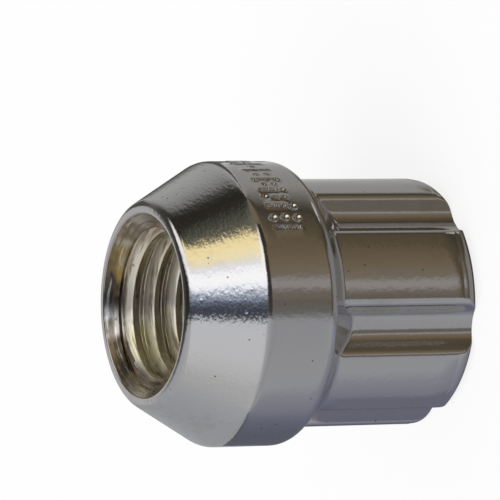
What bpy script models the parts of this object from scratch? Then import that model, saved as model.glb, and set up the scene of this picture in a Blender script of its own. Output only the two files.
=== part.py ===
"""Open-ended spline-drive lug nut with a collar and a 60 degree conical seat.

The nut is one solid. It stands on its splined end: Z = 0 is the flat ring that the
key goes over, +Z runs along the thread towards the small face of the conical seat,
and the axis of the thread is the Z axis.

The solid is made as it is forged and turned:
    head       turned seat cone, collar and the 45 degree shoulder behind it
    splines    six lobes as a flat outline pulled along the axis, with a turned end
    bore       a threaded plug for the tapped bore, and turned cutters for the countersink
               and the wide counterbore
"""

import math

import bmesh
import bpy
from mathutils import Vector

MM = 0.001

# Thread, M14 x 2
THREAD_MAJOR_RADIUS = 7.0 * MM
THREAD_PITCH = 2.0 * MM
THREAD_HEIGHT = 0.9 * MM           # radial, at the wide end of the minor diameter's tolerance
THREAD_FLANK_ANGLE = math.radians(30.0)
ROOT_FLAT_PER_PITCH = 0.125
FIRST_CREST_DEPTH = 2.3 * MM       # below the small face, at FIRST_CREST_TURN
FIRST_CREST_TURN = math.radians(102.4)

# Small face of the seat
MOUTH_RELIEF = 0.7 * MM            # countersink past the thread's major radius
COUNTERSINK_ANGLE = math.radians(45.0)
FACE_LAND = 0.59 * MM              # flat ring round the countersink
FACE_CORNER_RADIUS = 0.45 * MM
SEAT_HALF_ANGLE = math.radians(30.0)

# Collar and shoulder
COLLAR_LENGTH = 6.0 * MM
SEAT_EDGE_RADIUS = 0.8 * MM
SHOULDER_STEP = 1.5 * MM           # collar radius over lobe radius
SHOULDER_ANGLE = math.radians(45.0)
COLLAR_REAR_RADIUS = 1.4 * MM

# Splined end
LOBES = 6
SPLINE_LENGTH = 13.1 * MM
COUNTERBORE_CLEARANCE = 0.8 * MM   # counterbore radius over thread major radius
COUNTERBORE_DEPTH = 9.0 * MM
COUNTERBORE_STEP_ANGLE = math.radians(60.0)
COUNTERBORE_EDGE = 0.2 * MM        # chamfer at the mouth of the counterbore
ROOT_WALL = 0.9 * MM               # wall between counterbore and groove floor
GROOVE_DEPTH = 1.7 * MM
GROOVE_FLOOR_WIDTH = 1.7 * MM
GROOVE_FLANK_ANGLE = math.radians(42.0)
GROOVE_FLOOR_FILLET = 1.6 * MM
FILLET_REACH = 0.95                # most of the floor's half width that a fillet may take
LOBE_CORNER_RADIUS = 0.8 * MM
END_LAND = 0.6 * MM                # flat ring that the nut stands on
LOBE_END_CREASE = math.radians(12.8)

# Facets
TURN_STEPS = 72
THREAD_STEPS = 48
ARC_STEP = math.radians(15.0)
OVERCUT = 1.0 * MM
WELD = 1e-7

# Worked out from the sizes above
MINOR_RADIUS = THREAD_MAJOR_RADIUS - THREAD_HEIGHT
CUTTER_TIP_RADIUS = 0.8 * MINOR_RADIUS
MOUTH_RADIUS = THREAD_MAJOR_RADIUS + MOUTH_RELIEF
COUNTERBORE_RADIUS = THREAD_MAJOR_RADIUS + COUNTERBORE_CLEARANCE
GROOVE_FLOOR_RADIUS = COUNTERBORE_RADIUS + ROOT_WALL
LOBE_RADIUS = GROOVE_FLOOR_RADIUS + GROOVE_DEPTH
COLLAR_RADIUS = LOBE_RADIUS + SHOULDER_STEP
FACE_TURN = math.radians(90.0) - SEAT_HALF_ANGLE
FACE_CORNER = MOUTH_RADIUS + FACE_LAND + FACE_CORNER_RADIUS * math.tan(FACE_TURN / 2)
SEAT_LENGTH = (COLLAR_RADIUS - FACE_CORNER) / math.tan(SEAT_HALF_ANGLE)
SHOULDER_LENGTH = SHOULDER_STEP / math.tan(SHOULDER_ANGLE)
COLLAR_BOTTOM = SPLINE_LENGTH + SHOULDER_LENGTH
COLLAR_TOP = COLLAR_BOTTOM + COLLAR_LENGTH
NUT_LENGTH = COLLAR_TOP + SEAT_LENGTH


def clear_scene():
    """Remove every object so that the script can be run again from an open file."""
    for item in list(bpy.data.objects):
        bpy.data.objects.remove(item, do_unlink=True)


def new_collection(name):
    """Return a fresh collection linked to the scene."""
    old = bpy.data.collections.get(name)
    if old is not None:
        bpy.data.collections.remove(old)
    collection = bpy.data.collections.new(name)
    bpy.context.scene.collection.children.link(collection)
    return collection


def chrome_material():
    """Bright nickel and chrome plate."""
    material = bpy.data.materials.new("lug_nut_chrome")
    material.use_nodes = True
    shader = material.node_tree.nodes["Principled BSDF"]
    shader.inputs["Base Color"].default_value = (0.62, 0.61, 0.60, 1.0)
    shader.inputs["Metallic"].default_value = 1.0
    shader.inputs["Roughness"].default_value = 0.12
    return material


def rounded_corner(before, corner, after, radius):
    """Return the points of an arc of the given radius that rounds one corner of an outline."""
    into = (corner - before).normalized()
    out = (after - corner).normalized()
    turn = into.angle_signed(out)
    reach = radius * math.tan(abs(turn) / 2)
    start = corner - into * reach
    side = -math.copysign(1.0, turn)
    centre = start + Vector((-into.y, into.x)) * radius * side
    steps = max(1, math.ceil(abs(turn) / ARC_STEP))
    arm = start - centre
    points = []
    for step in range(steps + 1):
        angle = -turn * step / steps
        cosine, sine = math.cos(angle), math.sin(angle)
        points.append(centre + Vector((arm.x * cosine - arm.y * sine, arm.x * sine + arm.y * cosine)))
    return points


def rounded_outline(corners):
    """Turn (x, y, radius) corners of an open outline into points, with arcs where radius is set."""
    spots = [Vector(corner[:2]) for corner in corners]
    points = []
    for index, (spot, corner) in enumerate(zip(spots, corners)):
        radius = corner[2]
        if radius > 0.0 and 0 < index < len(spots) - 1:
            points.extend(rounded_corner(spots[index - 1], spot, spots[index + 1], radius))
        else:
            points.append(spot)
    return points


def turned_object(name, outline, collection):
    """Make a solid of revolution about Z from (radius, height) points, top to bottom."""
    mesh = bpy.data.meshes.new(name)
    edges = [(index, index + 1) for index in range(len(outline) - 1)]
    mesh.from_pydata([(point[0], 0.0, point[1]) for point in outline], edges, [])
    turned = bpy.data.objects.new(name, mesh)
    collection.objects.link(turned)
    screw = turned.modifiers.new("Turn", "SCREW")
    screw.axis = "Z"
    screw.angle = math.tau
    screw.steps = TURN_STEPS
    screw.render_steps = TURN_STEPS
    screw.use_merge_vertices = True
    screw.merge_threshold = WELD
    return turned


def head_outline():
    """Profile of the seat cone, collar and shoulder. The shoulder cone runs on inside the
    splines below the groove floors, so that every groove ends in the same slope."""
    inner_radius = COUNTERBORE_RADIUS
    foot = SPLINE_LENGTH - (LOBE_RADIUS - inner_radius) / math.tan(SHOULDER_ANGLE)
    return rounded_outline([
        (0.0, NUT_LENGTH, 0.0),
        (FACE_CORNER, NUT_LENGTH, FACE_CORNER_RADIUS),
        (COLLAR_RADIUS, COLLAR_TOP, SEAT_EDGE_RADIUS),
        (COLLAR_RADIUS, COLLAR_BOTTOM, COLLAR_REAR_RADIUS),
        (inner_radius, foot, 0.0),
        (0.0, foot, 0.0),
    ])


def end_outline():
    """Profile that rounds off the ends of the lobes and faces the ring the nut stands on."""
    land_radius = COUNTERBORE_RADIUS + COUNTERBORE_EDGE + END_LAND
    arc_radius = (LOBE_RADIUS - land_radius) / math.cos(LOBE_END_CREASE)
    outside = land_radius + arc_radius
    steps = math.ceil(math.radians(90.0) / ARC_STEP)
    points = [Vector((0.0, SPLINE_LENGTH + OVERCUT)), Vector((outside, SPLINE_LENGTH + OVERCUT))]
    for step in range(steps + 1):
        angle = math.radians(90.0) * step / steps
        radius = land_radius + arc_radius * math.cos(angle)
        height = arc_radius * (1.0 - math.sin(angle))
        points.append(Vector((radius, height)))
    points.append(Vector((0.0, 0.0)))
    return points


def countersink_outline():
    """Profile of the cutter that opens the mouth of the thread."""
    top = NUT_LENGTH + OVERCUT
    tip = NUT_LENGTH - (MOUTH_RADIUS - CUTTER_TIP_RADIUS) / math.tan(COUNTERSINK_ANGLE)
    corners = [
        (0.0, top),
        (MOUTH_RADIUS + OVERCUT * math.tan(COUNTERSINK_ANGLE), top),
        (CUTTER_TIP_RADIUS, tip),
        (0.0, tip),
    ]
    return [Vector(corner) for corner in corners]


def counterbore_outline():
    """Profile of the cutter for the wide bore at the splined end and its sloped bottom."""
    tip = COUNTERBORE_DEPTH + (COUNTERBORE_RADIUS - CUTTER_TIP_RADIUS) / math.tan(COUNTERBORE_STEP_ANGLE)
    corners = [
        (0.0, tip),
        (CUTTER_TIP_RADIUS, tip),
        (COUNTERBORE_RADIUS, COUNTERBORE_DEPTH),
        (COUNTERBORE_RADIUS, COUNTERBORE_EDGE),
        (COUNTERBORE_RADIUS + COUNTERBORE_EDGE + OVERCUT, -OVERCUT),
        (0.0, -OVERCUT),
    ]
    return [Vector(corner) for corner in corners]


def threaded_plug(name, collection):
    """Make a rod with the outline of the thread, to cut the tapped bore.

    One pitch of the outline, crest flat, flank, root flat, flank, is carried round the
    axis as a right-hand helix. A fan of faces from a point on the axis closes each end.
    The unfinished turn at each end lies in the counterbore or above the small face.
    """
    root = ROOT_FLAT_PER_PITCH * THREAD_PITCH
    flank = THREAD_HEIGHT * math.tan(THREAD_FLANK_ANGLE)
    crest = THREAD_PITCH - root - 2 * flank
    section = [
        (MINOR_RADIUS, 0.0),
        (MINOR_RADIUS, crest),
        (THREAD_MAJOR_RADIUS, crest + flank),
        (THREAD_MAJOR_RADIUS, crest + flank + root),
    ]
    bottom = COUNTERBORE_DEPTH - 1.25 * THREAD_PITCH
    turns = math.ceil((NUT_LENGTH - bottom) / THREAD_PITCH + 0.25)
    last = turns * THREAD_STEPS
    rise = (NUT_LENGTH - FIRST_CREST_DEPTH - crest / 2 - bottom) / THREAD_PITCH
    first_turn = FIRST_CREST_TURN - math.tau * (rise % 1.0)

    def spot(step, radius, offset):
        """Point of the helix after a number of steps."""
        angle = first_turn + math.tau * step / THREAD_STEPS
        height = bottom + THREAD_PITCH * step / THREAD_STEPS + offset
        return (radius * math.cos(angle), radius * math.sin(angle), height)

    points = []
    place = {}
    for step in range(last + THREAD_STEPS + 1):
        for corner, (radius, offset) in enumerate(section):
            if corner == 0 or step <= last:
                place[step, corner] = len(points)
                points.append(spot(step, radius, offset))
    for step in range(last + 1):
        place[step, len(section)] = place[step + THREAD_STEPS, 0]
    faces = []
    for step in range(last):
        for corner in range(len(section)):
            low, high = place[step, corner], place[step, corner + 1]
            next_low, next_high = place[step + 1, corner], place[step + 1, corner + 1]
            faces.append((low, next_low, next_high))
            faces.append((low, next_high, high))
    for end in (0, last):
        middle = len(points)
        points.append((0.0, 0.0, spot(end, 0.0, THREAD_PITCH / 2)[2]))
        rim = [place[step, 0] for step in range(end, end + THREAD_STEPS + 1)]
        rim += [place[end, corner] for corner in range(len(section) - 1, -1, -1)]
        faces.extend((middle, rim[index], rim[index + 1]) for index in range(len(rim) - 1))
    mesh = bpy.data.meshes.new(name)
    mesh.from_pydata(points, [], faces)
    shape = bmesh.new()
    shape.from_mesh(mesh)
    bmesh.ops.recalc_face_normals(shape, faces=shape.faces)
    shape.to_mesh(mesh)
    shape.free()
    plug = bpy.data.objects.new(name, mesh)
    collection.objects.link(plug)
    return plug


def half_groove():
    """Points of half a groove, from its middle line out to where the lobe's corner ends.

    The groove is centred on +X. The flank leaves the floor at GROOVE_FLANK_ANGLE to the
    middle line, and the lobe's corner is an arc that touches the flank and the circle of
    the lobes from inside.
    """
    half_floor = GROOVE_FLOOR_WIDTH / 2
    along = Vector((math.cos(GROOVE_FLANK_ANGLE), math.sin(GROOVE_FLANK_ANGLE)))
    inward = Vector((-along.y, along.x))
    foot = Vector((GROOVE_FLOOR_RADIUS, half_floor))
    # The arc's centre is LOBE_CORNER_RADIUS behind the flank and that far inside the circle
    base = foot + inward * LOBE_CORNER_RADIUS
    ring = LOBE_RADIUS - LOBE_CORNER_RADIUS
    half_b = base.dot(along)
    reach = -half_b + math.sqrt(half_b * half_b - base.length_squared + ring * ring)
    centre = base + along * reach
    touch_flank = centre - inward * LOBE_CORNER_RADIUS
    touch_circle = centre.normalized() * LOBE_RADIUS
    fillet_turn = math.radians(90.0) - GROOVE_FLANK_ANGLE
    fillet = min(GROOVE_FLOOR_FILLET, FILLET_REACH * half_floor / math.tan(fillet_turn / 2))
    points = rounded_outline([
        (GROOVE_FLOOR_RADIUS, 0.0, 0.0),
        (foot.x, foot.y, fillet),
        (touch_flank.x, touch_flank.y, 0.0),
    ])
    first = math.atan2(*(touch_flank - centre).yx)
    last = math.atan2(*(touch_circle - centre).yx)
    steps = max(1, math.ceil(abs(last - first) / ARC_STEP))
    for step in range(1, steps + 1):
        angle = first + (last - first) * step / steps
        points.append(centre + Vector((math.cos(angle), math.sin(angle))) * LOBE_CORNER_RADIUS)
    return points


def spline_outline():
    """Closed cross-section of the splined end, anticlockwise, with a lobe centred on +X."""
    half = half_groove()
    sector = math.tau / LOBES
    edge_angle = math.atan2(half[-1].y, half[-1].x)
    lobe_angle = sector - 2 * edge_angle
    turn_step = math.tau / TURN_STEPS
    lobe_steps = max(2, math.ceil(lobe_angle / turn_step))
    outline = []
    for lobe in range(LOBES):
        middle = sector * (lobe + 0.5)
        groove = [Vector((point.x, -point.y)) for point in reversed(half)] + half[1:]
        for point in groove:
            cosine, sine = math.cos(middle), math.sin(middle)
            outline.append((point.x * cosine - point.y * sine, point.x * sine + point.y * cosine))
        for step in range(1, lobe_steps):
            angle = middle + edge_angle + lobe_angle * step / lobe_steps
            outline.append((LOBE_RADIUS * math.cos(angle), LOBE_RADIUS * math.sin(angle)))
    return outline


def extruded_object(name, outline, bottom, top, collection):
    """Make a prism along Z from a closed outline, as a 2D curve turned into a welded mesh."""
    curve = bpy.data.curves.new(name, "CURVE")
    curve.dimensions = "2D"
    curve.fill_mode = "BOTH"
    curve.extrude = (top - bottom) / 2
    spline = curve.splines.new("POLY")
    spline.points.add(len(outline) - 1)
    for point, (x, y) in zip(spline.points, outline):
        point.co = (x, y, 0.0, 1.0)
    spline.use_cyclic_u = True
    drawn = bpy.data.objects.new(name + "_curve", curve)
    collection.objects.link(drawn)
    drawn.location = (0.0, 0.0, (top + bottom) / 2)
    bpy.context.view_layer.update()
    evaluated = drawn.evaluated_get(bpy.context.evaluated_depsgraph_get())
    mesh = bpy.data.meshes.new_from_object(evaluated)
    shape = bmesh.new()
    shape.from_mesh(mesh)
    bmesh.ops.remove_doubles(shape, verts=shape.verts, dist=WELD)
    bmesh.ops.recalc_face_normals(shape, faces=shape.faces)
    shape.to_mesh(mesh)
    shape.free()
    solid = bpy.data.objects.new(name, mesh)
    solid.matrix_world = drawn.matrix_world.copy()
    collection.objects.link(solid)
    bpy.data.objects.remove(drawn, do_unlink=True)
    return solid


def add_boolean(target, other, operation):
    """Add an exact Boolean modifier that combines target with other."""
    boolean = target.modifiers.new(operation.title() + "_" + other.name, "BOOLEAN")
    boolean.operation = operation
    boolean.solver = "EXACT"
    boolean.object = other


def hide_helper(helper):
    """Keep a cutter or a guide out of the finished model."""
    helper.hide_render = True
    helper.display_type = "WIRE"


def build_nut():
    """Build the nut from its turned head, its splined end and its tapped bore."""
    parts = new_collection("lug_nut_parts")
    cutters = new_collection("lug_nut_cutters")

    nut = turned_object("lug_nut", head_outline(), parts)
    nut.data.materials.append(chrome_material())

    splines = extruded_object("spline_body", spline_outline(), -OVERCUT, COLLAR_BOTTOM, cutters)
    end_shape = turned_object("spline_end_shape", end_outline(), cutters)
    thread = threaded_plug("threaded_plug", cutters)
    counterbore = turned_object("counterbore_cutter", counterbore_outline(), cutters)
    countersink = turned_object("countersink_cutter", countersink_outline(), cutters)
    add_boolean(splines, end_shape, "INTERSECT")
    add_boolean(nut, splines, "UNION")
    for cutter in (thread, counterbore, countersink):
        add_boolean(nut, cutter, "DIFFERENCE")
    for helper in (splines, end_shape, thread, counterbore, countersink):
        hide_helper(helper)
    return nut


def shade(part):
    """Smooth the round faces and keep the worked edges sharp."""
    part.data.shade_smooth()
    part.data.set_sharp_from_angle(angle=math.radians(25.0))


def main():
    clear_scene()
    nut = build_nut()
    shade(nut)


main()
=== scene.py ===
"""Looks of an open-ended spline-drive lug nut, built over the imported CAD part.

The nut stands on its splined end at the origin with its thread along +Z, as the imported
part does. One closed surface carries every form the eye can find: lobes, filleted
grooves, shoulder, stamped collar, seat cone, countersink, helical thread and
counterbore. Sizes are in millimetres inside the classes and become metres when a mesh
is written.
"""

import logging
import math
from dataclasses import dataclass, field
from enum import Enum
from functools import reduce

import bpy
import numpy as np
from mathutils import Matrix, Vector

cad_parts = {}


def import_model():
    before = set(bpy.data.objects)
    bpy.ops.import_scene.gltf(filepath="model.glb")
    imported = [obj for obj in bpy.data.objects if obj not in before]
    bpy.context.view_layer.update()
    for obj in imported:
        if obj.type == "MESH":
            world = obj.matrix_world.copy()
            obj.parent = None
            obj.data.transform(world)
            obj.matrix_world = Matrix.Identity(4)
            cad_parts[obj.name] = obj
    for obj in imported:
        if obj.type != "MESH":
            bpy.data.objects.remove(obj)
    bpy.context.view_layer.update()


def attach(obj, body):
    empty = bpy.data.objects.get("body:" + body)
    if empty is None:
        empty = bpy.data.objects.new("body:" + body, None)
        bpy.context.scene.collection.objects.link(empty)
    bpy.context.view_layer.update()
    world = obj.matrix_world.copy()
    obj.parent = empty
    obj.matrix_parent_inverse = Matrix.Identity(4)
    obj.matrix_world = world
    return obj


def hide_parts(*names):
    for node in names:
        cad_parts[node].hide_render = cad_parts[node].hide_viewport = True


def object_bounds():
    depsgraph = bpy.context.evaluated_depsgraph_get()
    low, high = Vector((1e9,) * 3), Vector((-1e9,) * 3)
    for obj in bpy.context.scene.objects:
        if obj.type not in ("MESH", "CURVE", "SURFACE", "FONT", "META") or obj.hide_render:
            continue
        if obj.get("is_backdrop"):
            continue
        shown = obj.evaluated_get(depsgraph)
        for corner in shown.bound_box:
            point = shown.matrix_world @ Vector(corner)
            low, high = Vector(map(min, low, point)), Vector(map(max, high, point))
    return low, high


LOG = logging.getLogger("lug_nut")
MM = 0.001
TAU = math.tau

Point = tuple[float, float, float]
Colour = tuple[float, float, float]
Tones = tuple[tuple[float, float, float, float], ...]
Socket = bpy.types.NodeSocket
Material = bpy.types.Material


# Curves and blends that the sub-assemblies share


def smooth_step(low: float, high: float, value: np.ndarray) -> np.ndarray:
    """Rise from 0 at low to 1 at high along the cubic 3t^2 - 2t^3."""
    share = np.clip((value - low) / (high - low), 0.0, 1.0)
    return share * share * (3.0 - 2.0 * share)


def soft_min(first: np.ndarray, second: np.ndarray | float, reach: float) -> np.ndarray:
    """Take min(a, b) - h^2 * reach / 4, with h from 1 where they cross to 0 at a gap of reach."""
    blend = np.clip(reach - np.abs(first - second), 0.0, None) / reach
    return np.minimum(first, second) - blend * blend * reach / 4.0


def soft_max(first: np.ndarray, second: np.ndarray | float, reach: float) -> np.ndarray:
    """Take the larger of two arrays and fill the crease where they cross, as soft_min does."""
    return -soft_min(-first, -second, reach)


def rounded_outline(corners: list[tuple[float, float, float]], arc_step: float) -> np.ndarray:
    """Join (radius, height, rounding) corners by straight lines and tangent arcs.

    An arc of rounding R leaves each line R * tan(turn / 2) from the corner, and its
    points are centre + R * (cos, sin) of angles spread evenly over the turn.

    Args:
        corners: Corners in order, with a rounding of 0 for a sharp one.
        arc_step: Largest angle between two points of an arc, in radians.

    Returns:
        An array of (radius, height) points.
    """
    spots = np.array([corner[:2] for corner in corners], float)
    pieces = [spots[:1]]
    for before, spot, after, corner in zip(spots[:-2], spots[1:-1], spots[2:], corners[1:-1]):
        if corner[2] <= 0.0:
            pieces.append(spot[None, :])
            continue
        into = (spot - before) / np.linalg.norm(spot - before)
        out = (after - spot) / np.linalg.norm(after - spot)
        turn = math.atan2(into[0] * out[1] - into[1] * out[0], float(into @ out))
        side = math.copysign(1.0, turn)
        start = spot - into * corner[2] * math.tan(abs(turn) / 2.0)
        centre = start + side * corner[2] * np.array([-into[1], into[0]])
        first = math.atan2(*(start - centre)[::-1])
        angles = first + turn * np.linspace(0.0, 1.0, max(2, math.ceil(abs(turn) / arc_step) + 1))
        pieces.append(centre + corner[2] * np.stack([np.cos(angles), np.sin(angles)], axis=1))
    pieces.append(spots[-1:])
    return np.concatenate(pieces)


def split(counts: np.ndarray) -> tuple[np.ndarray, np.ndarray]:
    """Number the parts that steps are split into: the step of each, and its place there."""
    step = np.repeat(np.arange(len(counts)), counts)
    return step, np.arange(counts.sum()) - np.repeat(np.cumsum(counts) - counts, counts)


def resampled(outline: np.ndarray, longest: float) -> np.ndarray:
    """Split the long lines of an outline so that no step along it exceeds a length.

    Args:
        outline: (radius, height) points.
        longest: Longest step wanted.

    Returns:
        The outline with points added evenly inside its long steps.
    """
    steps = np.linalg.norm(np.diff(outline, axis=0), axis=1)
    counts = np.maximum(1, np.ceil(steps / longest).astype(int))
    start, inside = split(counts)
    share = (inside / counts[start])[:, None]
    filled = outline[start] * (1.0 - share) + outline[start + 1] * share
    return np.concatenate([filled, outline[-1:]])


def round_axis(radius: np.ndarray, height: np.ndarray, angle: np.ndarray) -> np.ndarray:
    """Points, as rows of three, at a radius, height and angle about the Z axis."""
    spots = np.stack([radius * np.cos(angle), radius * np.sin(angle), height], axis=-1)
    return spots.reshape(-1, 3)


def ring_faces(index: np.ndarray) -> np.ndarray:
    """Four-sided faces between neighbouring rows of a grid, closed round the axis."""
    after = np.roll(index, -1, axis=1)
    return np.stack([index[:-1], after[:-1], after[1:], index[1:]], axis=-1).reshape(-1, 4)


# Sub-assemblies of the nut


@dataclass
class SplineDrive:
    """The six-lobed end that the key grips, with round lobe corners and filleted grooves."""

    lobes: int = 6
    lobe_radius: float = 10.4
    floor_radius: float = 8.7
    floor_width: float = 1.7
    flank_angle: float = math.radians(42.0)
    floor_fillet: float = 1.6
    corner_radius: float = 0.8
    end_ring: float = 8.6
    end_arc: float = 1.846
    end_softness: float = 0.22

    def landmarks(self) -> dict[str, float | np.ndarray]:
        """Find the arcs of half a groove whose middle line is the +X axis.

        The fillet touches the flat floor and the flank. The lobe's corner touches the
        flank and the circle of the lobes, both from inside the metal.

        Returns:
            Centres of both arcs and the polar angles at which each piece begins.
        """
        along = np.array([math.cos(self.flank_angle), math.sin(self.flank_angle)])
        inward = np.array([-along[1], along[0]])
        foot = np.array([self.floor_radius, self.floor_width / 2.0])
        turn = math.pi / 2.0 - self.flank_angle
        back = self.floor_fillet * math.tan(turn / 2.0)
        fillet = np.array([self.floor_radius + self.floor_fillet, foot[1] - back])
        fillet_end = foot + along * back
        base = foot + inward * self.corner_radius
        ring = self.lobe_radius - self.corner_radius
        middle = float(base @ along)
        corner = base + along * (-middle + math.sqrt(middle**2 - float(base @ base) + ring**2))
        touch_flank = corner - inward * self.corner_radius
        touch_lobe = corner / np.linalg.norm(corner) * self.lobe_radius

        def polar(point: np.ndarray) -> float:
            """Angle of a point about the nut's axis."""
            return math.atan2(point[1], point[0])

        return {
            "foot": foot,
            "fillet": fillet,
            "corner": corner,
            "floor_end": polar(np.array([self.floor_radius, fillet[1]])),
            "fillet_end": polar(fillet_end),
            "flank_end": polar(touch_flank),
            "corner_end": polar(touch_lobe),
        }

    def angles(self, fine_from: float, fine_to: float, fine_step: float) -> np.ndarray:
        """Spread columns round the nut, close together on arcs and where marks are stamped.

        Args:
            fine_from: Start of the stamped sector, in radians.
            fine_to: End of the stamped sector, in radians.
            fine_step: Largest step inside the stamped sector, in radians.

        Returns:
            Rising angles in one full turn, an even number of them.
        """
        marks = self.landmarks()
        half_sector = math.pi / self.lobes
        bounds = [0.0, marks["floor_end"], marks["fillet_end"], marks["flank_end"],
                  marks["corner_end"], half_sector]
        steps = [1, 9, 4, 7, 5]
        half = np.concatenate([
            np.linspace(low, high, count + 1)[:-1]
            for low, high, count in zip(bounds[:-1], bounds[1:], steps)
        ] + [[half_sector]])
        sector = np.concatenate([-half[::-1], half[1:-1]])
        middles = (np.arange(self.lobes) + 0.5) * 2.0 * half_sector
        turn = np.sort(np.mod((middles[:, None] + sector[None, :]).ravel(), TAU))
        gaps = np.diff(np.append(turn, turn[0] + TAU))
        centre = np.mod(turn + gaps / 2.0 - fine_from, TAU)
        counts = np.where(centre < np.mod(fine_to - fine_from, TAU), np.ceil(gaps / fine_step), 1)
        counts = counts.astype(int)
        if counts.sum() % 2:
            counts[np.argmax(gaps)] += 1
        start, inside = split(counts)
        return turn[start] + gaps[start] * inside / counts[start]

    def radius(self, angle: np.ndarray) -> np.ndarray:
        """Radius of the cross-section at each angle.

        Measured from a groove's middle line, a ray meets the flat floor at
        floor_radius / cos(a), then the fillet's circle, the straight flank, the circle
        of the lobe's corner and last the circle of the lobes.

        Args:
            angle: Angles about the axis, in radians.

        Returns:
            The radius at each angle.
        """
        marks = self.landmarks()
        sector = TAU / self.lobes
        side = np.abs(np.mod(angle, sector) - sector / 2.0)

        def meets_circle(centre: np.ndarray, size: float, far: bool) -> np.ndarray:
            """Distance along each ray to a circle.

            Args:
                centre: Centre of the circle.
                size: Its radius.
                far: Whether its far side is meant.

            Returns:
                The distance along each ray.
            """
            reach = centre[0] * np.cos(side) + centre[1] * np.sin(side)
            under = np.clip(reach**2 - float(centre @ centre) + size**2, 0.0, None)
            return reach + np.sqrt(under) if far else reach - np.sqrt(under)

        floor = self.floor_radius / np.cos(side)
        foot = marks["foot"]
        cross = foot[0] * math.sin(self.flank_angle) - foot[1] * math.cos(self.flank_angle)
        flank = cross / np.sin(np.minimum(self.flank_angle - side, math.pi / 2.0))
        flank = np.where(side < self.flank_angle, flank, self.lobe_radius)
        pieces = [
            (side < marks["floor_end"], floor),
            (side < marks["fillet_end"], meets_circle(marks["fillet"], self.floor_fillet, False)),
            (side < marks["flank_end"], flank),
            (side < marks["corner_end"], meets_circle(marks["corner"], self.corner_radius, True)),
        ]
        tests, values = zip(*pieces)
        return np.select(tests, values, self.lobe_radius)

    def end_rows(self, spline: np.ndarray) -> tuple[np.ndarray, np.ndarray]:
        """Rows of the rounded end, from the standing ring up to the straight lobes.

        Each row is a height on a quarter circle of end_arc that starts at end_ring, and
        its radius is the softened smaller of that circle and the cross-section.

        Args:
            spline: Radius of the cross-section at each column.

        Returns:
            Radius and height of each row and column.
        """
        swing = np.radians([88.5, 86.0, 83.0, 79.0, 75.0, 70.0, 65.0, 60.0, 54.0, 48.0, 42.0,
                            36.0, 30.0, 25.0, 21.0, 17.5, 14.0, 10.5, 7.0, 3.0])
        circle = self.end_ring + self.end_arc * np.cos(swing)
        height = self.end_arc * (1.0 - np.sin(swing))
        radius = soft_min(circle[:, None], spline[None, :], self.end_softness)
        return radius, np.broadcast_to(height[:, None], radius.shape)


class MarkKind(Enum):
    """What a stamped mark looks like from above."""

    BAR = "bar"
    DOT = "dot"
    BOWL = "bowl"


@dataclass(frozen=True)
class Mark:
    """One stamped mark: its place along the row and the collar's height, and its length."""

    kind: MarkKind
    turn: float
    height: float
    length: float = 0.0


@dataclass
class StampedRow:
    """A row of plain bars, dots and bowls pressed into the collar. It spells nothing."""

    start: float = math.radians(-44.0)
    end: float = math.radians(12.0)
    middle: float = 17.95
    depth: float = 0.18
    lip: float = 0.04
    half_width: float = 0.17
    wall: tuple[float, float] = (-0.1, 0.06)
    crest: tuple[float, float] = (0.14, 0.09)
    rough_edge: tuple[float, float] = (0.16, 0.34)
    bowl_swell: float = 2.0
    band: float = 1.95
    collar_slack: float = 0.1
    farthest: float = 99.0
    fine_margin: float = 0.05
    fine_step: float = math.radians(0.6)
    marks: tuple[Mark, ...] = tuple(Mark(kind, *place) for kind, places in {
        MarkKind.BAR: (
            (-0.03, 0.0, 2.0), (0.165, 0.4, 1.5), (0.335, 0.4, 1.3), (0.465, 0.0, 2.2),
            (0.62, 0.55, 1.0), (0.625, -0.75, 0.6), (0.77, 0.0, 2.2), (0.92, 0.0, 1.6),
        ),
        MarkKind.DOT: (
            (0.25, 0.1), (0.25, -0.75), (0.335, -1.0), (0.4, 0.45), (0.4, -0.45), (0.54, 0.5),
            (0.545, -0.5), (0.695, 0.0), (0.84, 0.7), (0.85, -0.4), (0.985, 0.3), (0.99, -0.6),
        ),
        MarkKind.BOWL: (
            (0.055, 1.1), (0.06, 0.0), (0.055, -1.1), (0.16, -1.1), (0.255, 1.05),
        ),
    }.items() for place in places)

    def distance(self, angle: np.ndarray, height: np.ndarray, radius: float, rough: bool) -> np.ndarray:
        """Distance over the collar's surface to the nearest mark's middle line.

        A bar is a straight run of its length along the axis, and a dot is a run of no
        length. The distance to a run is that to its nearest point. A bowl is a dot
        whose distance is divided by its swell, which makes it that many times wider.

        Args:
            angle: Angle of each point.
            height: Height of each point.
            radius: Radius of the collar.
            rough: Whether to leave out the bowls, which are smooth inside.

        Returns:
            The least distance at each point.
        """
        across = np.mod(angle - self.start + math.pi, TAU) - math.pi
        across, height = np.broadcast_arrays(across * radius, height - self.middle)
        nearest = np.full(across.shape, self.farthest)
        span = (self.end - self.start) * radius
        for mark in self.marks:
            if rough and mark.kind is MarkKind.BOWL:
                continue
            above = height - mark.height
            beyond = above - np.clip(above, -mark.length / 2.0, mark.length / 2.0)
            gap = np.hypot(across - mark.turn * span, beyond)
            nearest = np.minimum(nearest, gap / (self.bowl_swell if mark.kind is MarkKind.BOWL else 1.0))
        return nearest

    def press(self, gap: np.ndarray, rough: np.ndarray) -> np.ndarray:
        """Height of the surface over the collar: flat-bottomed trenches inside low lips.

        Args:
            gap: Distance to the nearest mark of all.
            rough: Distance to the nearest one that isn't a bowl, which has no lip.

        Returns:
            The height at each point.
        """
        foot, top = (self.half_width + offset for offset in self.wall)
        offset, spread = self.crest
        lip = self.lip * np.exp(-(((rough - self.half_width - offset) / spread) ** 2))
        return lip - self.depth * (1.0 - smooth_step(foot, top, gap))


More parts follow.
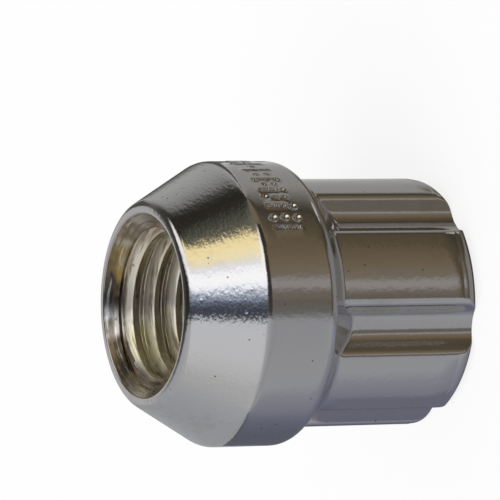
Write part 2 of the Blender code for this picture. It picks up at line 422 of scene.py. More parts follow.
@dataclass
class TurnedHead:
    """Seat cone, collar and 45 degree shoulder, which the splines grow out of."""

    length: float = 26.403
    face_radius: float = 8.55
    face_rounding: float = 0.8
    collar_radius: float = 11.9
    collar_top: float = 20.6
    collar_bottom: float = 14.6
    seat_rounding: float = 1.35
    rear_rounding: float = 1.4
    shoulder_foot: float = 13.1
    shoulder_softness: float = 0.34
    mouth_radius: float = 7.7
    mouth_edge: float = 0.16
    face_crown: float = 0.07
    crown_width: float = 0.2
    crown_rounding: float = 0.9
    mouth_slope: float = math.tan(math.radians(45.0))
    mouth_cut: float = 0.3
    stamped_band: tuple[float, float] = (16.1, 19.7)
    band_gap: float = 0.1
    plain_step: float = 0.55
    stamped_step: float = 0.115
    arc_step: float = math.radians(9.0)

    def shoulder_rows(self, spline: np.ndarray, lobe_radius: float, end_top: float
                      ) -> tuple[np.ndarray, np.ndarray]:
        """Rows of the straight splines and of the slope that ends every groove.

        The slope's radius is lobe_radius + (height - shoulder_foot), at 45 degrees. A
        column leaves its straight run where the slope reaches its own radius, so the
        rows there are moved with that height, and the corner between them is filled.

        Args:
            spline: Radius of the cross-section at each column.
            lobe_radius: Radius of the lobes.
            end_top: Height at which the rounded end stops.

        Returns:
            Radius and height of each row and column.
        """
        knee = self.shoulder_foot - (lobe_radius - spline)
        near = np.array([-0.42, -0.3, -0.21, -0.14, -0.07, 0.0, 0.07, 0.14, 0.21, 0.3, 0.42])
        straight = end_top + (knee + near[0] - end_top)[None, :] * np.linspace(0.0, 1.0, 9)[:-1, None]
        corner = knee[None, :] + near[:, None]
        turn = math.radians(45.0)
        top = self.collar_bottom - self.rear_rounding * math.tan(turn / 2.0) * math.cos(turn)
        slope = corner[-1:] + (top - corner[-1:]) * np.linspace(0.0, 1.0, 6)[1:-1, None]
        height = np.concatenate([straight, corner, slope])
        cone = lobe_radius + (height - self.shoulder_foot)
        return soft_max(spline[None, :], cone, self.shoulder_softness), height

    def outline(self) -> np.ndarray:
        """Turned outline from the shoulder's rear corner to the edge of the mouth.

        Returns:
            (radius, height) points, close together in the stamped band.
        """
        start = self.collar_radius - (self.collar_bottom - self.shoulder_foot)
        corners = [
            (start, self.shoulder_foot, 0.0),
            (self.collar_radius, self.collar_bottom, self.rear_rounding),
            (self.collar_radius, self.collar_top, self.seat_rounding),
            (self.face_radius, self.length - self.face_crown, self.face_rounding),
            (self.mouth_radius + self.crown_width, self.length, self.crown_rounding),
            (self.mouth_radius, self.length, self.mouth_edge),
            (self.mouth_radius - self.mouth_cut, self.length - self.mouth_cut / self.mouth_slope, 0.0),
        ]
        points = resampled(rounded_outline(corners, self.arc_step)[1:-1], self.plain_step)
        band = np.array([(self.collar_radius, height) for height in self.stamped_band])
        below = points[points[:, 1] < band[0, 1] - self.band_gap]
        above = points[points[:, 1] > band[1, 1] + self.band_gap]
        return np.concatenate([below, resampled(band, self.stamped_step), above])


@dataclass
class TappedBore:
    """Countersink, helical thread, and the wide counterbore behind it."""

    major_radius: float = 7.0
    pitch: float = 2.0
    minor_radius: float = 6.1
    crest_flat: float = 0.711
    crest_softness: float = 0.12
    root_ratio: float = 1.6
    start_turn: float = math.radians(102.4)
    start_height: float = 24.103
    counterbore_radius: float = 7.8
    counterbore_depth: float = 9.0
    counterbore_slope: float = math.tan(math.radians(60.0))
    edge: float = 0.2
    standing_ring: float = 8.6
    top_gap: float = 0.12
    fine_foot: float = 17.0
    row_steps: tuple[float, float] = (0.061, 0.125)
    row_gaps: tuple[float, float] = (0.1, 0.14)
    foot_gap: float = 0.1
    lower_rows: int = 9
    sink_softness: float = 0.05
    step_softness: float = 0.25
    inner_softness: float = 0.08
    mouth_start: float = 0.3
    mouth_rounding: float = 0.08
    mouth_step: float = 0.2
    arc_step: float = math.radians(12.0)

    def thread(self, angle: np.ndarray, height: np.ndarray) -> np.ndarray:
        """Radius of the right-hand thread.

        Along the axis, a point is |p| * pitch from the nearest crest, where p is its
        height over the pitch less its turn over a full one, less the nearest whole
        number. The flanks rise at 60 degrees to the axis from the edges of the crest's
        flat to the major radius, and the corners of crest and root are rounded.

        Args:
            angle: Angle of each point.
            height: Height of each point.

        Returns:
            The radius at each point.
        """
        phase = (height - self.start_height) / self.pitch - (angle - self.start_turn) / TAU
        away = np.abs(phase - np.round(phase)) * self.pitch
        flank = self.minor_radius + (away - self.crest_flat / 2.0) * math.tan(math.radians(60.0))
        crest = soft_max(flank, self.minor_radius, self.crest_softness)
        return soft_min(crest, self.major_radius, self.crest_softness * self.root_ratio)

    def rows(self, angle: np.ndarray, head: TurnedHead) -> tuple[np.ndarray, np.ndarray]:
        """Rows of the bore from the countersink down to the counterbore's mouth.

        The bore's radius is the largest of the thread, the countersink's cone that
        narrows at 45 degrees to the axis, and the counterbore with its sloped end.

        Args:
            angle: Angle of each column.
            head: The head that the bore is cut in.

        Returns:
            Radius and height of each row and column.
        """
        fine, coarse = self.row_steps
        above, below = (self.counterbore_depth - gap for gap in self.row_gaps)
        height = np.concatenate([
            np.arange(head.length - self.top_gap, self.fine_foot, -fine),
            np.arange(self.fine_foot, above, -coarse),
            np.linspace(below, self.edge + self.foot_gap, self.lower_rows),
        ])[:, None]
        sink = head.mouth_radius - (head.length - height) * head.mouth_slope
        step = self.counterbore_radius - (height - self.counterbore_depth) * self.counterbore_slope
        wide = soft_min(step, self.counterbore_radius, self.step_softness)
        radius = soft_max(self.thread(angle[None, :], height), sink, self.sink_softness)
        return soft_max(radius, wide, self.inner_softness), np.broadcast_to(height, radius.shape)

    def mouth_rows(self) -> np.ndarray:
        """Outline of the counterbore's chamfered mouth and of the ring the nut stands on.

        Returns:
            (radius, height) points from the bore outwards.
        """
        outline = rounded_outline([
            (self.counterbore_radius, self.edge + self.mouth_start, 0.0),
            (self.counterbore_radius, self.edge, self.mouth_rounding),
            (self.counterbore_radius + self.edge, 0.0, self.mouth_rounding),
            (self.standing_ring, 0.0, 0.0),
        ], self.arc_step)[1:]
        return resampled(outline, self.mouth_step)


class Zone(Enum):
    """Material slots of the nut's surface."""

    PLATE = 0
    BORE = 1


@dataclass
class LugNut:
    """The whole nut as one closed surface of rows that run round the axis."""

    drive: SplineDrive = field(default_factory=SplineDrive)
    head: TurnedHead = field(default_factory=TurnedHead)
    bore: TappedBore = field(default_factory=TappedBore)
    stamp: StampedRow = field(default_factory=StampedRow)

    def outside(self, angle: np.ndarray) -> tuple[np.ndarray, np.ndarray, np.ndarray]:
        """Rows from the counterbore's mouth over the outside to the mouth of the thread.

        Args:
            angle: Angle of each column.

        Returns:
            Radius and height of each row and column, and how deep each point is
            stamped, from 0 to 1.
        """
        ring = self.bore.mouth_rows()
        spline = self.drive.radius(angle)
        end_radius, end_height = self.drive.end_rows(spline)
        body_radius, body_height = self.head.shoulder_rows(
            spline, self.drive.lobe_radius, self.drive.end_arc)
        turned = self.head.outline()

        def spun(outline: np.ndarray) -> tuple[np.ndarray, np.ndarray]:
            """Carry an outline round every column."""
            shape = (len(outline), len(angle))
            return np.broadcast_to(outline[:, :1], shape), np.broadcast_to(outline[:, 1:], shape)

        ring_radius, ring_height = spun(ring)
        head_radius, head_height = spun(turned)
        collar = self.head.collar_radius
        gap, rough = (self.stamp.distance(angle[None, :], head_height, collar, only_rough)
                      for only_rough in (False, True))
        on_collar = head_radius > collar - self.stamp.collar_slack
        on_collar &= np.abs(head_height - self.stamp.middle) < self.stamp.band
        pressed = np.where(on_collar, self.stamp.press(gap, rough), 0.0)
        radius = np.concatenate([ring_radius, end_radius, body_radius, head_radius + pressed])
        height = np.concatenate([ring_height, end_height, body_height, head_height])
        stamped = np.zeros(radius.shape)
        deep = 1.0 - smooth_step(*self.stamp.rough_edge, rough)
        stamped[-len(turned):] = np.where(on_collar, deep, 0.0)
        return radius, height, stamped

    def surface(self) -> tuple[np.ndarray, list[np.ndarray], np.ndarray, np.ndarray]:
        """Work out every vertex and face of the nut.

        The outside uses every column and the bore uses every second one. Each is a grid
        of four-sided faces closed round the axis. Two rings of triangles and one wider
        face for each pair of columns join them at the thread's mouth and at the
        counterbore's mouth, so that the surface closes on itself like a ring.

        Returns:
            Vertices in millimetres, face arrays, each face's zone, and how stamped each
            vertex is.
        """
        margin = self.stamp.fine_margin
        fine = self.drive.angles(self.stamp.start - margin, self.stamp.end + margin, self.stamp.fine_step)
        coarse = fine[::2]
        out_radius, out_height, stamped = self.outside(fine)
        in_radius, in_height = self.bore.rows(coarse, self.head)

        verts = np.concatenate([round_axis(out_radius, out_height, fine),
                                round_axis(in_radius, in_height, coarse)])
        out_index = np.arange(out_radius.size).reshape(out_radius.shape)
        in_index = out_radius.size + np.arange(in_radius.size).reshape(in_radius.shape)

        def joint(many: np.ndarray, few: np.ndarray, flip: bool) -> tuple[np.ndarray, np.ndarray]:
            """Faces between a row of all columns and a row of every second one.

            Args:
                many: Point numbers of the row of all columns.
                few: Point numbers of the other row.
                flip: Whether to turn the faces over.

            Returns:
                The four-sided and the three-sided faces.
            """
            left, middle, right = many[::2], many[1::2], np.roll(many[::2], -1)
            few_next = np.roll(few, -1)
            quads = np.stack([left, middle, few_next, few], axis=-1)
            thirds = np.stack([middle, right, few_next], axis=-1)
            return (quads[:, ::-1], thirds[:, ::-1]) if flip else (quads, thirds)

        top_quads, top_thirds = joint(out_index[-1], in_index[0], False)
        low_quads, low_thirds = joint(out_index[0], in_index[-1], True)
        out_faces, in_faces = ring_faces(out_index), ring_faces(in_index)
        faces = [out_faces, in_faces, top_quads, low_quads, top_thirds, low_thirds]
        zones = np.full(sum(map(len, faces)), Zone.BORE.value)
        zones[:len(out_faces)] = Zone.PLATE.value
        marks = np.concatenate([stamped.ravel(), np.zeros(in_radius.size)])
        return verts, faces, zones, marks

    def build(self, name: str) -> bpy.types.Object:
        """Write the surface into a Blender mesh.

        Args:
            name: Name of the new piece.

        Returns:
            The piece, linked to the scene at the origin.
        """
        verts, faces, zones, marks = self.surface()
        sizes = np.concatenate([np.full(len(block), block.shape[1]) for block in faces])
        corners = np.concatenate([block.ravel() for block in faces])
        mesh = bpy.data.meshes.new(name)
        mesh.vertices.add(len(verts))
        mesh.vertices.foreach_set("co", (verts * MM).astype(np.float32).ravel())
        mesh.loops.add(len(corners))
        mesh.loops.foreach_set("vertex_index", corners.astype(np.int32))
        mesh.polygons.add(len(sizes))
        mesh.polygons.foreach_set("loop_start", (np.cumsum(sizes) - sizes).astype(np.int32))
        mesh.polygons.foreach_set("material_index", zones.astype(np.int32))
        mesh.polygons.foreach_set("use_smooth", np.ones(len(sizes), bool))
        mesh.update(calc_edges=True)
        mesh.validate()
        stamped = mesh.attributes.new("stamped", "FLOAT", "POINT")
        stamped.data.foreach_set("value", marks.astype(np.float32))
        return linked(name, mesh)

    def dress(self, piece: bpy.types.Object) -> None:
        """Give the outside its chrome plate and the bore its thin warm plate."""
        piece.data.materials.append(ChromePlate().material("chrome_plate"))
        piece.data.materials.append(BorePlate().material("bore_plate"))


# Shader nodes


class Nodes:
    """A short way to add and join shader nodes in one tree."""

    def __init__(self, tree: bpy.types.NodeTree) -> None:
        """Keep the tree that nodes are added to."""
        self.tree = tree

    def feed(self, socket: Socket, value: object) -> None:
        """Link a socket to an input, or set the input to a plain value.

        Args:
            socket: The input.
            value: A socket, number, vector or colour.
        """
        if isinstance(value, bpy.types.NodeSocket):
            self.tree.links.new(value, socket)
        else:
            socket.default_value = (*value, 1.0) if socket.type == "RGBA" else value

    def add(self, kind: str, **values: object) -> bpy.types.Node:
        """Add a node.

        Args:
            kind: The node's type name without its leading ShaderNode.
            values: Properties of the node, or what feeds its inputs, by name with
                spaces written as underscores.

        Returns:
            The new node.
        """
        node = self.tree.nodes.new("ShaderNode" + kind)
        for name, value in values.items():
            if hasattr(node, name):
                setattr(node, name, value)
            else:
                self.feed(node.inputs[name.replace("_", " ")], value)
        return node

    def math(self, operation: str, *values: object) -> Socket:
        """Add a Math node.

        Args:
            operation: What it works out.
            values: Sockets or plain numbers, one for each input.

        Returns:
            Its output.
        """
        node = self.add("Math", operation=operation)
        for socket, value in zip(node.inputs, values):
            self.feed(socket, value)
        return node.outputs[0]

    def chain(self, operation: str, *values: object) -> Socket:
        """Join sockets and plain numbers by a Math operation, from left to right."""
        return reduce(lambda first, second: self.math(operation, first, second), values)

    def product(self, *values: object) -> Socket:
        """Multiply sockets and plain numbers."""
        return self.chain("MULTIPLY", *values)

    def total(self, *values: object) -> Socket:
        """Add up sockets and plain numbers."""
        return self.chain("ADD", *values)

    def weighted(self, weights: tuple[float, ...], *values: Socket) -> Socket:
        """Add up sockets, each times its weight."""
        return self.total(*map(self.product, values, weights))

    def ramp(self, source: Socket, low: float, high: float) -> Socket:
        """Map a socket from low to high onto 0 to 1 along a smooth step."""
        return self.add("MapRange", interpolation_type="SMOOTHSTEP", Value=source, From_Min=low,
                        From_Max=high).outputs["Result"]

    def blend(self, share: Socket, first: object, second: object) -> Socket:
        """Mix two colours by a share.

        Args:
            share: Share of the second one.
            first: A socket or a plain colour.
            second: Another one.

        Returns:
            The colour output.
        """
        node = self.add("Mix", data_type="RGBA")
        for place, value in ((0, share), (6, first), (7, second)):
            self.feed(node.inputs[place], value)
        return node.outputs[2]

    def tones(self, source: Socket, stops: Tones) -> Socket:
        """Run through colours placed along a socket's value.

        Args:
            source: Socket whose value picks the colour.
            stops: Value, red, green and blue of each stop, in rising order.

        Returns:
            The colour output.
        """
        low, high = stops[0][0], stops[-1][0]
        share = self.math("DIVIDE", self.math("SUBTRACT", source, low), high - low)
        node = self.add("ValToRGB", Fac=share)
        elements = node.color_ramp.elements
        for place, *colour in stops[1:-1]:
            elements.new((place - low) / (high - low)).color = (*colour, 1.0)
        elements[0].color = (*stops[0][1:], 1.0)
        elements[-1].color = (*stops[-1][1:], 1.0)
        return node.outputs["Color"]

    def mixed_shader(self, share: Socket, first: bpy.types.Node, second: bpy.types.Node) -> Socket:
        """Mix two shaders by a share.

        Args:
            share: Share of the second one.
            first: Node of one shader.
            second: Node of the other.

        Returns:
            The shader output.
        """
        node = self.add("MixShader")
        for socket, value in zip(node.inputs, (share, first.outputs[0], second.outputs[0])):
            self.feed(socket, value)
        return node.outputs[0]


def start_group(name: str, values: dict[str, float], outputs: tuple[str, ...]
                ) -> tuple[Nodes, bpy.types.NodeOutputs, bpy.types.NodeInputs]:
    """Start a shader node group that reads a position.

    Args:
        name: Name of the group.
        values: Default value of each number that it takes beside its Position.
        outputs: Names of the numbers that it puts out.

    Returns:
        A helper for its nodes, the sockets that it reads and the sockets that it fills.
    """
    tree = bpy.data.node_groups.new(name, "ShaderNodeTree")
    tree.interface.new_socket("Position", in_out="INPUT", socket_type="NodeSocketVector")
    for label, value in values.items():
        tree.interface.new_socket(label, in_out="INPUT", socket_type="NodeSocketFloat").default_value = value
    for label in outputs:
        tree.interface.new_socket(label, in_out="OUTPUT", socket_type="NodeSocketFloat")
    return Nodes(tree), tree.nodes.new("NodeGroupInput").outputs, tree.nodes.new("NodeGroupOutput").inputs


def ripple_group() -> bpy.types.NodeTree:
    """Height of plated metal that isn't quite flat: a broad swell and a fine grain.

    Returns:
        A group with the inputs Position, Swell Scale and Grain Scale, and the outputs
        Swell and Grain, each around 0.5.
    """
    name = "plate_ripple"
    if name in bpy.data.node_groups:
        return bpy.data.node_groups[name]
    nodes, given, wanted = start_group(name, {"Swell Scale": 900.0, "Grain Scale": 3800.0},
                                       ("Swell", "Grain"))
    for label, detail in (("Swell", 1.0), ("Grain", 2.0)):
        noise = nodes.add("TexNoise", Vector=given["Position"], Scale=given[label + " Scale"],
                          Detail=detail, Roughness=0.5)
        nodes.feed(wanted[label], noise.outputs["Fac"])
    return nodes.tree


def speck_group() -> bpy.types.NodeTree:
    """Masks for pits, stains and fine scratches.

    Pits are the middles of rare Voronoi cells, stains are the peaks of a slow noise
    broken up by a fast one, and scratches are the zero lines of a stretched noise.

    Returns:
        A group with the inputs Position, Pit Scale and Pit Share, and the outputs Pits,
        Stains and Scratches, each from 0 to 1.
    """
    name = "plate_specks"
    if name in bpy.data.node_groups:
        return bpy.data.node_groups[name]
    nodes, given, wanted = start_group(name, {"Pit Scale": 1100.0, "Pit Share": 0.06},
                                       ("Pits", "Stains", "Scratches"))
    position = given["Position"]
    cells = nodes.add("TexVoronoi", Vector=position, Scale=given["Pit Scale"])
    pick = nodes.add("SeparateColor", Color=cells.outputs["Color"]).outputs[0]
    core = nodes.math("SUBTRACT", 1.0, nodes.ramp(cells.outputs["Distance"], 0.08, 0.3))
    nodes.feed(wanted["Pits"], nodes.product(nodes.math("LESS_THAN", pick, given["Pit Share"]), core))
    slow = nodes.add("TexNoise", Vector=position, Scale=160.0, Detail=3.0, Roughness=0.6)
    fast = nodes.add("TexNoise", Vector=position, Scale=1500.0, Detail=3.0, Roughness=0.65)
    patches = nodes.weighted((0.7, 0.3), slow.outputs["Fac"], fast.outputs["Fac"])
    nodes.feed(wanted["Stains"], nodes.ramp(patches, 0.54, 0.68))
    stretch = nodes.add("Mapping", Vector=position, Rotation=(0.4, 0.9, 0.3), Scale=(260.0, 3200.0, 700.0))
    hair = nodes.add("TexNoise", Vector=stretch.outputs["Vector"], Scale=1.0, Detail=1.0)
    line = nodes.math("ABSOLUTE", nodes.math("SUBTRACT", hair.outputs["Fac"], 0.5))
    nodes.feed(wanted["Scratches"], nodes.math("SUBTRACT", 1.0, nodes.ramp(line, 0.0, 0.012)))
    return nodes.tree


def start_material(name: str) -> tuple[Material, Nodes]:
    """Start a material that has its plain Principled shader.

    Args:
        name: Name of the material.

    Returns:
        The material and a helper for its nodes.
    """
    material = bpy.data.materials.new(name)
    material.use_nodes = True
    return material, Nodes(material.node_tree)


def start_stage_material(name: str) -> tuple[Material, Nodes]:
    """Start a material without nodes, whose glow isn't searched for like a lamp's.

    Args:
        name: Name of the material.

    Returns:
        The material and a helper for its nodes.
    """
    material, nodes = start_material(name)
    nodes.tree.nodes.clear()
    material.cycles.emission_sampling = "NONE"
    return material, nodes


def feed_plate(nodes: Nodes, colour: Socket, rough: Socket, metal: Socket | float, height: Socket,
               ripple: float) -> None:
    """Feed a plate's Principled shader.

    Args:
        nodes: Helper for the material's nodes.
        colour: Colour of the metal.
        rough: Its roughness.
        metal: Its share of bare metal.
        height: Its bumps.
        ripple: Height in metres of a bump of 1.
    """
    inputs = nodes.tree.nodes["Principled BSDF"].inputs
    bump = nodes.add("Bump", Distance=ripple, Height=height)
    nodes.feed(inputs["Base Color"], colour)
    nodes.feed(inputs["Roughness"], rough)
    nodes.feed(inputs["Metallic"], metal)
    nodes.feed(inputs["Normal"], bump.outputs["Normal"])


# Finishes


@dataclass(frozen=True)
class ChromePlate:
    """Bright chrome over nickel, a little rippled on the seat cone, with pits and stains."""

    colour: Colour = (0.62, 0.61, 0.60)
    stain: Colour = (0.46, 0.43, 0.37)
    pit: Colour = (0.22, 0.20, 0.17)
    tarnish: Colour = (0.24, 0.20, 0.15)
    stain_share: float = 0.35
    tarnish_share: float = 0.85
    roughness: float = 0.075
    ripple: float = 0.000009
    scar_height: float = 12.0
    pit_height: float = -0.5
    rough_weights: tuple[float, ...] = (0.05, 0.08, 0.25)
    seat_weights: tuple[float, ...] = (1.7, 0.6, 0.8)
    grain_range: tuple[float, float] = (0.40, 0.56)
    seat_start: tuple[float, float] = (0.0205, 0.0212)
    seat_stop: tuple[float, float] = (0.0263, 0.0258)

    def material(self, name: str) -> Material:
        """Build the material.

        The seat cone has a mask of its own by height, for its coarser ripple and warts.
        The stamped attribute roughens and tarnishes the floors of the marks.

        Args:
            name: Name of the material.

        Returns:
            The new material.
        """
        material, nodes = start_material(name)
        position = nodes.add("TexCoord").outputs["Object"]
        squeezed = nodes.add("Mapping", Vector=position, Scale=(1.0, 1.0, 2.4)).outputs["Vector"]
        broad = nodes.add("Group", node_tree=ripple_group(), Position=position,
                          Swell_Scale=700.0, Grain_Scale=2600.0).outputs
        turned = nodes.add("Group", node_tree=ripple_group(), Position=squeezed,
                           Swell_Scale=1900.0, Grain_Scale=5200.0).outputs
        specks = nodes.add("Group", node_tree=speck_group(), Position=position,
                           Pit_Scale=2300.0, Pit_Share=0.022).outputs
        warts = nodes.add("Group", node_tree=speck_group(), Position=position,
                          Pit_Scale=1700.0, Pit_Share=0.16).outputs
        upward = nodes.add("SeparateXYZ", Vector=position).outputs["Z"]
        seat = nodes.product(nodes.ramp(upward, *self.seat_start), nodes.ramp(upward, *self.seat_stop))
        stamped = nodes.add("Attribute", attribute_name="stamped").outputs["Fac"]
        colour = nodes.blend(nodes.product(specks["Stains"], self.stain_share), self.colour, self.stain)
        patchy = nodes.product(stamped, nodes.ramp(turned["Grain"], *self.grain_range), self.tarnish_share)
        colour = nodes.blend(patchy, colour, self.tarnish)
        colour = nodes.blend(specks["Pits"], colour, self.pit)
        dull = nodes.weighted(self.rough_weights, specks["Stains"], specks["Scratches"], specks["Pits"])
        rough = nodes.total(dull, self.roughness)
        rough_seat = nodes.weighted(self.seat_weights, turned["Swell"], turned["Grain"], warts["Pits"])
        height = nodes.total(broad["Swell"], broad["Grain"], nodes.product(rough_seat, seat),
                             nodes.product(stamped, turned["Grain"], self.scar_height),
                             nodes.product(specks["Pits"], self.pit_height))
        feed_plate(nodes, colour, rough, 1.0, height, self.ripple)
        return material


@dataclass(frozen=True)
class BorePlate:
    """Thin nickel over a brass tone in the thread and counterbore, streaked round the axis.

    Each stop of the tones is a turn in degrees round the axis, from the side of the bore
    that the camera sees, and a colour. Over the plate's own warm tone, these stops are
    painted reflection and painted shade: the light and dark bands that the countersink and
    the thread mirror from that side, laid where they fall on the real one.
    """

    # Painted reflection and painted shade of the thread, by turn, over its warm tone.
    thread: Tones = (
        (-180, 0.6, 0.53, 0.42), (-60, 0.5, 0.42, 0.32), (-45, 0.6, 0.53, 0.42), (-30, 0.76, 0.69, 0.56),
        (-10, 0.74, 0.69, 0.58), (15, 0.72, 0.68, 0.61), (27, 0.92, 0.88, 0.72), (46, 0.94, 0.89, 0.58),
        (60, 0.84, 0.78, 0.54), (76, 0.58, 0.5, 0.34), (105, 0.52, 0.45, 0.31), (180, 0.6, 0.53, 0.42),
    )
    # Painted reflection and painted shade of the countersink, by turn, over its warm tone.
    countersink: Tones = (
        (-180, 0.5, 0.46, 0.38), (-62, 0.46, 0.4, 0.32), (-50, 0.26, 0.19, 0.12),
        (-34, 0.52, 0.47, 0.37), (-26, 0.46, 0.39, 0.24), (-15, 0.36, 0.25, 0.08), (-8, 0.2, 0.14, 0.06),
        (-1, 0.065, 0.055, 0.045), (7, 0.1, 0.09, 0.08), (15, 0.27, 0.25, 0.22), (27, 0.46, 0.44, 0.4),
        (34, 0.2, 0.18, 0.15), (40, 0.06, 0.052, 0.042), (56, 0.12, 0.1, 0.07), (72, 0.6, 0.5, 0.36),
        (95, 0.72, 0.62, 0.44), (180, 0.5, 0.46, 0.38),
    )
    # Dark tone of the pits and of the dark streaks, which are partly painted shade lines.
    dark: Colour = (0.20, 0.15, 0.10)
    # Pale tone of the pale streaks, which are partly painted highlight lines.
    pale: Colour = (0.96, 0.94, 0.88)
    sink_start: tuple[float, float] = (0.02472, 0.02500)
    stray: float = 40.0
    dark_streaks: tuple[float, float] = (0.50, 0.64)
    dark_share: float = 0.75
    pale_streaks: tuple[float, float] = (0.44, 0.34)
    pale_share: float = 0.45
    pit_share: float = 0.7
    lit_start: tuple[float, float] = (10.0, 26.0)
    lit_stop: tuple[float, float] = (80.0, 62.0)
    lit_dull: float = 0.30
    dull: float = 0.38
    facing_range: tuple[float, float] = (0.15, 0.45)
    metal: float = 0.96
    roughness: float = 0.20
    streak_rough: float = 0.1
    height_weights: tuple[float, ...] = (1.0, 0.5, 1.3)
    ripple: float = 0.00002

    def material(self, name: str) -> Material:
        """Build the material.

        The turn is the arctangent of Object x, turned about, over Object y, moved a few
        degrees to and fro by a noise. Streaks are a noise that is stretched round the axis.
        Flanks of the thread that face the mouth are duller metal, most of all where the
        light falls in.

        Args:
            name: Name of the material.

        Returns:
            The new material.
        """
        material, nodes = start_material(name)
        position = nodes.add("TexCoord").outputs["Object"]
        place = nodes.add("SeparateXYZ", Vector=position).outputs
        ripple = nodes.add("Group", node_tree=ripple_group(), Position=position,
                           Swell_Scale=700.0, Grain_Scale=1800.0).outputs
        specks = nodes.add("Group", node_tree=speck_group(), Position=position,
                           Pit_Scale=1500.0, Pit_Share=0.10).outputs
        turn = nodes.math("DEGREES", nodes.math("ARCTAN2", nodes.product(place["X"], -1.0), place["Y"]))
        stray = nodes.product(nodes.math("SUBTRACT", ripple["Swell"], 0.5), self.stray)
        turn = nodes.total(turn, stray)
        stretch = nodes.add("Mapping", Vector=position, Scale=(260.0, 260.0, 3600.0)).outputs["Vector"]
        streak = nodes.add("TexNoise", Vector=stretch, Scale=1.0, Detail=3.0, Roughness=0.6).outputs["Fac"]
        sink = nodes.ramp(place["Z"], *self.sink_start)
        # Painted reflection and painted shade: the thread's tones by turn below, the countersink's above.
        colour = nodes.blend(sink, nodes.tones(turn, self.thread), nodes.tones(turn, self.countersink))
        # Streaks round the axis are partly machining streaks and partly painted shade lines (dark) and
        # painted highlight lines (pale) along the thread; pits are real dark specks.
        for mask, share, tone in (
            (nodes.ramp(streak, *self.dark_streaks), self.dark_share, self.dark),
            (nodes.ramp(streak, *self.pale_streaks), self.pale_share, self.pale),
            (specks["Pits"], self.pit_share, self.dark),
        ):
            colour = nodes.blend(nodes.product(mask, share), colour, tone)
        facing = nodes.add("SeparateXYZ", Vector=nodes.add("TexCoord").outputs["Normal"]).outputs["Z"]
        lit = nodes.product(nodes.ramp(turn, *self.lit_start), nodes.ramp(turn, *self.lit_stop))
        dull = nodes.product(nodes.total(nodes.product(lit, self.lit_dull), self.dull),
                             nodes.ramp(facing, *self.facing_range), nodes.math("SUBTRACT", 1.0, sink))
        rough = nodes.total(nodes.product(streak, self.streak_rough), self.roughness)
        height = nodes.weighted(self.height_weights, ripple["Swell"], ripple["Grain"], streak)
        feed_plate(nodes, colour, rough, nodes.math("SUBTRACT", self.metal, dull), height, self.ripple)
        return material


# Studio


def linked(name: str, data: bpy.types.ID) -> bpy.types.Object:
    """Make an object and link it to the scene.

    Args:
        name: Name of the object.
        data: Its mesh, camera or lamp.

    Returns:
        The object.
    """
    item = bpy.data.objects.new(name, data)
    bpy.context.scene.collection.objects.link(item)
    return item


def stage_object(name: str, verts: np.ndarray, faces: list[list[int]], material: Material,
                 unseen: tuple[str, ...]) -> bpy.types.Object:
    """Add a plain mesh that some kinds of ray don't see.

    Args:
        name: Name of the object and of its mesh.
        verts: Points in metres.
        faces: Point numbers of each face.
        material: Its only material.
        unseen: Kinds of ray that pass through it.

    Returns:
        The object, linked to the scene.
    """
    mesh = bpy.data.meshes.new(name)
    mesh.from_pydata(verts.tolist(), [], faces)
    mesh.materials.append(material)
    item = linked(name, mesh)
    for ray in unseen:
        setattr(item, "visible_" + ray, False)
    return item


@dataclass
class PhotoCamera:
    """The camera of the photograph, which lies on its side beside the standing nut."""

    place: Point = (0.08778, -0.37839, 0.21101)
    right: Point = (0.08597, -0.43969, -0.89402)
    up: Point = (0.97762, 0.21016, -0.00934)
    back: Point = (0.19199, -0.87321, 0.44792)
    lens: float = 374.54
    sensor: float = 36.0
    reach: tuple[float, float] = (0.01, 10.0)

    def build(self) -> bpy.types.Object:
        """Add the camera and make it the scene's own.

        Returns:
            The camera.
        """
        data = bpy.data.cameras.new("photo_camera")
        data.lens, data.sensor_width = self.lens, self.sensor
        data.clip_start, data.clip_end = self.reach
        camera = linked("photo_camera", data)
        turn = Matrix((self.right, self.up, self.back)).transposed()
        camera.matrix_world = Matrix.Translation(self.place) @ turn.to_4x4()
        bpy.context.scene.camera = camera
        return camera


@dataclass(frozen=True)
class Card:
    """An upright card of the studio whose tone changes from its foot to its top.

    Angles are in degrees round the photograph's upright: turn 0 is towards the camera
    and grows to its right, and rise 0 is level with the nut.
    """

    turn: float
    half_turn: float
    edge: float
    tones: Tones


